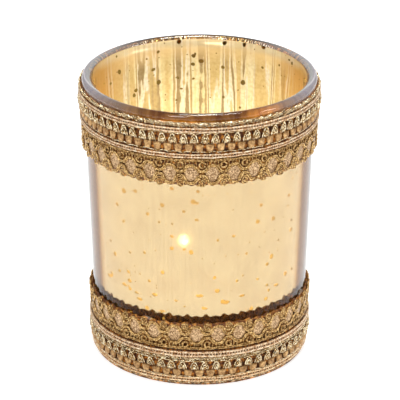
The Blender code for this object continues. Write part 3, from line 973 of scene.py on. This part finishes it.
def make_crowns(prefix, node, count, girth, knot_material, foot_material, seed):
    """Knots of foil thread over flat satin feet, which stand half a pitch between the knots."""
    low, high = rows_of(node)
    generator = np.random.default_rng(seed)
    pitch = girth / count
    foot_top = low + 0.44 * (high - low)
    knots, feet = Trim(girth), Trim(girth)
    share = np.linspace(0, 1, 13)
    reach = high - foot_top
    for place in spaced(count, generator, girth, 0.10):
        for width, rise, base, deep, thick in (
            (0.34, 1.00, -0.12, 1.55, 0.30),
            (0.20, 0.72, -0.05, 1.80, 0.27),
            (0.07, 0.46, 0.00, 1.95, 0.24),
        ):
            lumps = 1 + generator.uniform(-0.28, 0.28, len(share))
            swing = np.cos(math.pi * share)
            lift = np.sin(math.pi * share) ** 0.75
            along = place - pitch * width * swing * (1.10 - 0.35 * lift) + generator.uniform(-0.08, 0.08)
            height = foot_top + reach * (base + (rise - base) * lift * 0.97)
            height = height + generator.uniform(-0.07, 0.07, len(share))
            depth = deep - 0.45 * (1 - lift) + generator.uniform(-0.08, 0.08, len(share))
            knots.yarn(np.stack([along, height, depth], -1), thick * lumps, sides=6)
        bar = np.linspace(-1, 1, 7)
        along = place + 0.30 * pitch * bar
        height = foot_top + reach * (0.30 + generator.uniform(-0.06, 0.06, 7))
        knots.yarn(np.stack([along, height, 2.0 - 0.25 * bar**2], -1), 0.22, sides=6)

    def trapezoid(angle):
        flat = np.abs(np.cos(angle)) ** 5 + np.abs(np.sin(angle)) ** 5
        reach_out = flat ** (-1 / 5)
        up = reach_out * np.sin(angle)
        return pitch * (0.35 + 0.07 * up) * reach_out * np.cos(angle), 0.5 * (foot_top - low - 0.15) * up

    def stitches(along, height):
        return 0.05 * np.cos(math.tau * (along * (1 - 0.12 * height)) / 0.42)

    for place in spaced(count, generator, girth, 0.08):
        centre = (place + pitch / 2, (low + foot_top) / 2 + generator.uniform(-0.08, 0.08))
        feet.pillow(centre, trapezoid, 0.78, 1.75 + generator.uniform(-0.08, 0.10), relief=stitches)
    add_thread(knots, high + 0.05, 1.15, 0.22, generator, 0.10)
    add_thread(knots, low - 0.10, 1.15, 0.20, generator, 0.10)
    knots.piece(f"{prefix}_knots", knot_material, [node], "antique_gold_thread")
    feet.piece(f"{prefix}_satin_feet", foot_material, [], "rose_gold_satin")


def along_wave(centre, swing, phase, sharp, lean):
    """Height of a gimp that swings between the petals. Phase 0 is the middle of one."""
    wave = np.cos(phase) + lean
    return centre + swing * wave / np.sqrt(wave**2 + sharp)


def make_lace(prefix, edge, direction, count, girth, shift, materials, seed):
    """Net, petals and gimps of one lace edging, growing from edge in direction."""
    gimp_material, petal_material, net_material, ground_material = materials
    generator = np.random.default_rng(seed)
    samples = count * 44
    phase = np.linspace(0, math.tau * count, samples, endpoint=False) - math.pi
    # Each gimp's middle height, swing, roundness, lean and depth
    gimps = {"inner_gimp": (3.45, -1.35, 0.55, 0.10, 0.98), "outer_gimp": (7.25, 1.75, 0.40, 0.15, 1.10)}
    for row, (centre, swing, sharp, lean, deep) in gimps.items():
        trim = Trim(girth, shift)
        height = along_wave(centre, swing, phase, sharp, lean)
        path = ring_path(girth, samples, edge + direction * height, deep)
        looped = np.concatenate([path[-1:, 1], path[:, 1], path[:1, 1]])
        slope = np.gradient(looped)[1:-1] / (girth / samples)
        normal = unit(np.stack([-slope, np.ones(samples), np.zeros(samples)], -1))
        wander = smooth_noise(generator, samples, count * 2, 0.06)
        for offset, extra in ((-0.30, 0.0), (0.30, 0.16)):
            strand = path + normal * (offset + wander[:, None])
            strand[:, 2] += extra + smooth_noise(generator, samples, count * 3, 0.05)
            trim.yarn(strand, 0.27, sides=8, closed=True, ply=0.20, twist=1.15)
        if row == "outer_gimp":
            add_curls(trim, edge, direction, count, generator)
        trim.piece(f"{prefix}_{row}", gimp_material, [f"{prefix}_lace_{row}"], "antique_gold_thread")
    make_petals(prefix, edge, direction, count, girth, shift, petal_material, generator)
    make_ground(prefix, edge, direction, count, girth, shift, ground_material)
    make_net(prefix, edge, direction, count, girth, shift, net_material, generator)


def ring_yarn(trim, centre, size, radius, depth, generator, start=0.0, sweep=math.tau, steps=16):
    """A loop of yarn about centre, or the part of one that sweep covers."""
    turn = start + np.linspace(0, sweep, steps)
    wobble = 1 + generator.uniform(-0.06, 0.06, steps)
    along = centre[0] + size * np.cos(turn) * wobble
    height = centre[1] + size * np.sin(turn) * wobble
    rise = depth + 0.10 * np.sin(turn * 2 + generator.uniform(0, 6)) + 0.004 * np.arange(steps)
    trim.yarn(np.stack([along, height, rise], -1), radius, sides=7, ply=0.20, twist=0.9)


def add_curls(trim, edge, direction, count, generator):
    """The small scrolls between the petals' arches."""
    pitch = trim.girth / count
    for place in spaced(count, generator, trim.girth, 0.15):
        centre = (place + pitch / 2, edge + direction * (8.75 + generator.uniform(-0.12, 0.12)))
        ring_yarn(trim, centre, 1.05, 0.25, 1.05, generator)
        ring_yarn(trim, centre, 0.42, 0.22, 1.28, generator, steps=10)
        start = math.radians(200 if direction > 0 else 20)
        ring_yarn(trim, centre, 1.72, 0.23, 0.95, generator, start, math.radians(140), 12)


def make_petals(prefix, edge, direction, count, girth, shift, material, generator):
    trim = Trim(girth, shift)

    def oval(angle):
        up = np.sin(angle) * direction
        return (2.52 + 0.22 * up) * np.cos(angle), 2.82 * np.sin(angle)

    def stitches(along, height):
        return 0.05 * np.cos(math.tau * height / 0.62) * np.cos(math.tau * along / 0.8)

    for place in spaced(count, generator, girth, 0.10):
        centre = (place, edge + direction * (5.60 + generator.uniform(-0.10, 0.10)))
        trim.pillow(centre, oval, 0.62, 1.02 + generator.uniform(-0.08, 0.08), rings=9, relief=stitches)
    trim.piece(f"{prefix}_petals", material, [f"{prefix}_lace_petals"], "rose_gold_satin")


def make_ground(prefix, edge, direction, count, girth, shift, material):
    """The close brown net that carries the lace. Its dark brown is painted shade between the lace's threads,
    and its reflection in the coating gives the dark band beside the lace. Its free edge follows the lace's
    scallops.
    """
    trim = Trim(girth, shift)
    stations = count * 12
    phase = np.linspace(0, math.tau * count, stations, endpoint=False) - math.pi
    far = edge + direction * (9.80 + 0.30 * np.cos(2 * phase) - 0.15 * np.cos(phase))
    near = np.full(stations, edge)
    low, high = (near, far) if direction > 0 else (far, near)
    along = np.linspace(0, girth, stations, endpoint=False)
    grid = np.zeros((stations, 4, 3))
    grid[..., 0] = along[:, None]
    grid[..., 1] = np.stack([low, low, high, high], -1)
    grid[..., 2] = np.array([0.14, 0.38, 0.38, 0.14])[None]
    trim.add(grid, closed=True)
    trim.piece(f"{prefix}_lace_ground", material, [], "woven_tape")


def make_net(prefix, edge, direction, count, girth, shift, material, generator):
    """Ladder of bars along the braid, a ring between every two petals, and threads that link the petals."""
    trim = Trim(girth, shift)
    pitch = girth / count
    bars = count * 6
    for height, depth in ((0.30, 0.95), (0.78, 0.85)):
        add_thread(trim, edge + direction * height, depth, 0.24, generator, 0.06)
    for place in spaced(bars, generator, girth, 0.12):
        along = place + np.linspace(-0.08, 0.08, 5)
        height = edge + direction * np.linspace(0.5, 3.0, 5)
        trim.yarn(np.stack([along, height, np.full(5, 0.72)], -1), 0.20, sides=6)
    for place in spaced(count, generator, girth, 0.12):
        centre = (place + pitch / 2, edge + direction * 2.15)
        ring_yarn(trim, centre, 0.98, 0.31, 1.05, generator)
        for side in (-1, 1):
            along = place + side * np.linspace(2.6, 1.2, 6)
            height = edge + direction * np.linspace(3.2, 8.6, 6)
            trim.yarn(np.stack([along, height, np.full(6, 0.66)], -1), 0.28, sides=6)
    trim.piece(f"{prefix}_net", material, [f"{prefix}_lace_net"], "antique_gold_thread")


def make_glue(name, node, smears, material, seed):
    """A film under the trim, and smears that reach past its edge.

    A smear is (turn in degrees, height, half its length, half its height).
    """
    low, high = rows_of(node)
    generator = np.random.default_rng(seed)
    trim = Trim(math.tau * glass_radius((low + high) / 2))
    stations = 360
    ragged = smooth_noise(generator, stations, 60, 0.25)
    along = np.linspace(0, trim.girth, stations, endpoint=False)
    grid = np.zeros((stations, 4, 3))
    grid[..., 0] = along[:, None]
    grid[..., 1] = np.stack([low + ragged, low + ragged, high + ragged, high + ragged], -1)
    grid[..., 2] = np.array([0.03, 0.10, 0.10, 0.03])[None]
    trim.add(grid, closed=True)

    def blob(angle):
        edge = 1 + 0.22 * np.cos(3 * angle + 1) + 0.12 * np.cos(5 * angle + 2)
        return half_along * edge * np.cos(angle), half_height * edge * np.sin(angle)

    for turn, height, half_along, half_height in smears:
        trim.pillow((trim.girth * turn / 360, height), blob, 0.02, 0.45)
    trim.piece(name, material, [node], "clear_glue")


def make_bands():
    copper = yarn_material(
        "copper_cord", (0.28, 0.11, 0.033), (0.67, 0.38, 0.17), (1.0, 0.84, 0.60),
        metallic=0.50, roughness=0.25, fleck_mm=0.24, fleck_share=0.42,
    )
    gold = yarn_material(
        "gimp_gold", (0.10, 0.038, 0.004), (0.35, 0.175, 0.036), (0.96, 0.66, 0.28),
        metallic=0.60, roughness=0.28, fleck_mm=0.24, fleck_share=0.34, grain_mm=0.6,
    )
    foil = yarn_material(
        "foil_thread", (0.13, 0.055, 0.006), (0.48, 0.265, 0.07), (1.0, 0.90, 0.64),
        metallic=0.75, roughness=0.20, fleck_mm=0.26, fleck_share=0.42,
    )
    # Painted light: a lighter copy of the copper for the lowest cord, standing in for light thrown up by the
    # floor
    floor_lit_copper = yarn_material(
        "bright_copper_cord", (0.34, 0.13, 0.035), (0.80, 0.44, 0.17), (1.0, 0.84, 0.56),
        metallic=0.50, roughness=0.25, fleck_mm=0.24, fleck_share=0.42,
    )
    satin = yarn_material(
        "satin_yarn", (0.24, 0.11, 0.03), (0.42, 0.225, 0.078), (0.74, 0.46, 0.19),
        metallic=0.30, roughness=0.42, fleck_mm=0.18, fleck_share=0.18,
    )
    petal = yarn_material(
        "petal_yarn", (0.14, 0.062, 0.018), (0.33, 0.185, 0.075), (0.84, 0.58, 0.32),
        metallic=0.40, roughness=0.36, fleck_mm=0.26, fleck_share=0.24, grain_mm=0.5,
    )
    net = yarn_material(
        "net_thread", (0.10, 0.04, 0.006), (0.31, 0.155, 0.034), (0.88, 0.58, 0.24),
        metallic=0.60, roughness=0.30, fleck_mm=0.22, fleck_share=0.28, grain_mm=0.7,
    )
    # Painted shade and light: very dark brown for the shade in the gaps between the knots, orange flecks for
    # glints of the flame's light
    tape = yarn_material(
        "tape_weave", (0.05, 0.014, 0.002), (0.17, 0.050, 0.007), (0.75, 0.28, 0.03),
        metallic=0.40, roughness=0.50, fleck_mm=0.60, fleck_share=0.04,
    )
    # Painted shade: dark brown for the shade between and behind the lace's threads
    ground = yarn_material(
        "ground_net", (0.08, 0.022, 0.004), (0.21, 0.065, 0.010), (0.75, 0.32, 0.05),
        metallic=0.30, roughness=0.50, fleck_mm=0.45, fleck_share=0.05,
    )
    glue = glue_material()

    upper_girth = math.tau * (glass_radius(90.0) + TRIM_DEPTH)
    lower_girth = math.tau * (glass_radius(8.0) + TRIM_DEPTH)
    upper_low, upper_high = rows_of("upper_braid_tape")
    lower_low, lower_high = rows_of("lower_braid_tape")

    make_tape("upper", upper_low, upper_high - 0.3, upper_girth, tape)
    make_tape("lower", lower_low, lower_high, lower_girth, tape)
    make_plait("upper_head_cord", "upper_braid_head_cord", copper, upper_girth, 11)
    make_plait("upper_foot_cord", "upper_braid_foot_cord", copper, upper_girth, 12)
    make_plait("lower_head_cord", "lower_braid_head_cord", copper, lower_girth, 13)
    make_plait("lower_foot_cord", "lower_braid_foot_cord", floor_lit_copper, lower_girth, 14, 0.35)
    make_loop_thread("upper_edge_loops", "upper_braid_edge_thread", foil, upper_girth, 21)
    make_loop_thread("lower_head_loops", "lower_braid_head_thread", foil, lower_girth, 22)
    make_loop_thread("lower_foot_loops", "lower_braid_foot_thread", foil, lower_girth, 23, 0.70)
    make_crowns("upper", "upper_braid_crown_row", 72, upper_girth, foil, satin, 31)
    make_crowns("lower", "lower_braid_crown_row", 62, lower_girth, foil, satin, 32)

    upper_edge = rows_of("upper_lace_net")[1]
    lower_edge = rows_of("lower_lace_net")[0]
    lace = (gold, petal, net, ground)
    upper_lace_girth = math.tau * (glass_radius(upper_edge - 5.0) + TRIM_DEPTH)
    lower_lace_girth = math.tau * (glass_radius(lower_edge + 5.0) + TRIM_DEPTH)
    make_lace("upper", upper_edge, -1, 35, upper_lace_girth, 0.85, lace, 41)
    make_lace("lower", lower_edge, 1, 32, lower_lace_girth, 2.60, lace, 42)

    make_glue("upper_glue_film", "upper_glue", [(150, 74.8, 2.2, 0.8)], glue, 51)
    make_glue("lower_glue_film", "lower_glue", [(-28, 23.6, 1.8, 0.7), (70, 24.0, 2.0, 0.9)], glue, 52)


# Studio


def make_camera():
    data = bpy.data.cameras.new("camera")
    data.lens = CAMERA_LENS
    data.sensor_width = 36.0
    data.shift_x = CAMERA_SHIFT
    data.clip_end = 20.0
    camera = bpy.data.objects.new("camera", data)
    camera.location = Vector(CAMERA_PLACE) * MM
    camera.rotation_euler = (math.radians(90 - CAMERA_TILT), 0, 0)
    bpy.context.scene.collection.objects.link(camera)
    bpy.context.scene.camera = camera


def area_light(name, place, size, power):
    """A round light aimed at the part, in metres and watts."""
    data = bpy.data.lights.new(name, "AREA")
    data.shape = "DISK"
    data.size = size
    data.energy = power
    light = bpy.data.objects.new(name, data)
    light.location = place
    aim = Vector((0, 0, 0.05)) - Vector(place)
    light.rotation_euler = aim.to_track_quat("-Z", "Y").to_euler()
    bpy.context.scene.collection.objects.link(light)


def make_world():
    world = bpy.data.worlds.new("studio")
    bpy.context.scene.world = world
    world.use_nodes = True
    background = world.node_tree.nodes["Background"]
    background.inputs["Color"].default_value = (1.0, 1.0, 1.0, 1.0)
    background.inputs["Strength"].default_value = 0.56


def make_floor():
    """White paper that is lit from below, as on a light table."""
    paper = bpy.data.materials.new("white_paper")
    paper.use_nodes = True
    shader = paper.node_tree.nodes["Principled BSDF"]
    shader.inputs["Base Color"].default_value = (0.50, 0.50, 0.50, 1.0)
    shader.inputs["Roughness"].default_value = 0.9
    shader.inputs["Specular IOR Level"].default_value = 0.1
    shader.inputs["Emission Color"].default_value = (1.0, 1.0, 1.0, 1.0)
    shader.inputs["Emission Strength"].default_value = 0.72
    reach = 3.0
    corners = [(-reach, -reach, 0), (reach, -reach, 0), (reach, reach, 0), (-reach, reach, 0)]
    mesh = bpy.data.meshes.new("floor")
    mesh.from_pydata(corners, [], [(0, 1, 2, 3)])
    mesh.materials.append(paper)
    floor = bpy.data.objects.new("floor", mesh)
    bpy.context.scene.collection.objects.link(floor)


def make_studio():
    bpy.context.scene.view_settings.view_transform = "Standard"
    make_world()
    make_floor()
    area_light("key", (-0.35, -0.85, 0.95), 0.40, 5.0)
    area_light("top", (0.15, 0.10, 1.1), 0.35, 5.5)
    area_light("overhead", (0.0, 0.05, 0.70), 0.20, 2.0)
    area_light("side", (0.95, -0.35, 0.50), 0.35, 2.0)


make_camera()
make_studio()
make_glass()
make_coating()
make_tealight()
make_bands()
